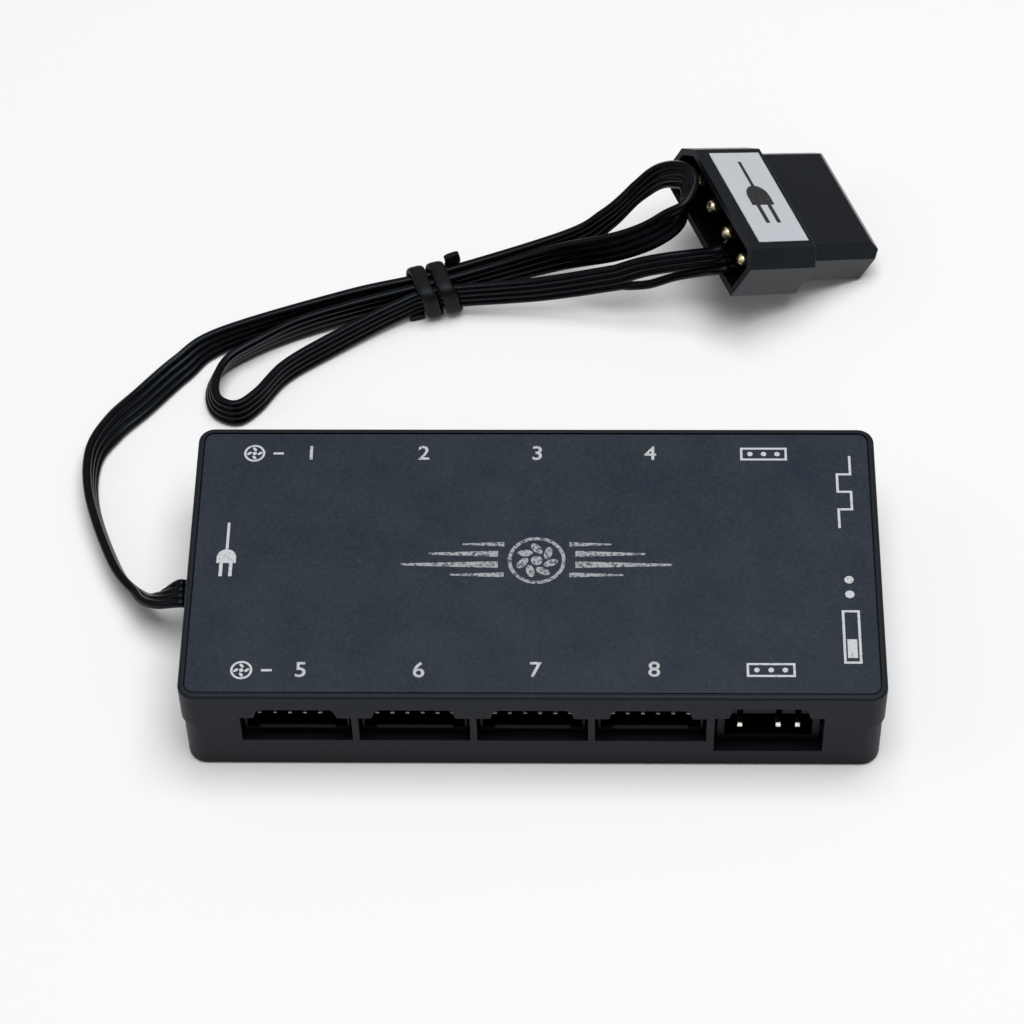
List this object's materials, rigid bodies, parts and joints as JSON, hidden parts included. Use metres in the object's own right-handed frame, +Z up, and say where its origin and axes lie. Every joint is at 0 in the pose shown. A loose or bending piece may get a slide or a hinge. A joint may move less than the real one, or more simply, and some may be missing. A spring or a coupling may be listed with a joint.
{
  "type": "fan hub",
  "caption": "Flat black fan hub with sockets along both long sides, a slide switch, and a flat power cable tied in a loop with a power connector on its end.",
  "frame": {"origin": "middle of the underside of the case", "axes": "+X along the rows of sockets towards the switch end, +Y from the front row to the back row, +Z up through the label"},
  "size_m": [0.1143, 0.1051, 0.02],
  "materials": {
    "case_black": "fine satin texture",
    "label_print": "matte printed film with a fine speckle",
    "board_green": "satin solder mask",
    "header_black": "satin",
    "contact_gold": "polished thin plating",
    "bright_steel": "satin",
    "knob_black": "satin",
    "chip_black": "matte",
    "can_aluminium": "satin",
    "chip_tan": "matte",
    "grommet_rubber": "matte",
    "cable_black": "satin",
    "tie_black": "matte",
    "connector_black": "satin gloss",
    "sticker_white": "matte paper"
  },
  "bodies": {
    "case": {"top_shell": "case_black", "bottom_shell": "case_black", "face_label": "label_print", "circuit_board": "board_green", "fan_header_1": "header_black", "fan_header_2": "header_black", "fan_header_3": "header_black", "fan_header_4": "header_black", "fan_header_5": "header_black", "fan_header_6": "header_black", "fan_header_7": "header_black", "fan_header_8": "header_black", "led_header_1": "header_black", "led_header_2": "header_black", "fan_pins_1": "contact_gold", "fan_pins_2": "contact_gold", "fan_pins_3": "contact_gold", "fan_pins_4": "contact_gold", "fan_pins_5": "contact_gold", "fan_pins_6": "contact_gold", "fan_pins_7": "contact_gold", "fan_pins_8": "contact_gold", "led_pins_1": "contact_gold", "led_pins_2": "contact_gold", "switch_body": "bright_steel", "switch_terminals": "bright_steel", "controller_chip": "chip_black", "filter_capacitor": "can_aluminium", "chip_parts": "chip_tan", "board_screws": "bright_steel", "cable_grommet": "grommet_rubber", "cable_tail": "cable_black", "power_cable": "cable_black", "connector_wires": "cable_black", "cable_tie": "tie_black", "connector_housing": "connector_black", "connector_terminals": "contact_gold", "connector_sticker": "sticker_white"},
    "switch_slider": {"switch_slider": "knob_black"}
  },
  "joints": [
    {"name": "switch_slide", "type": "slide", "parent": "case", "child": "switch_slider", "axis": [0, 1, 0], "range_m": [0, 0.002]}
  ]
}
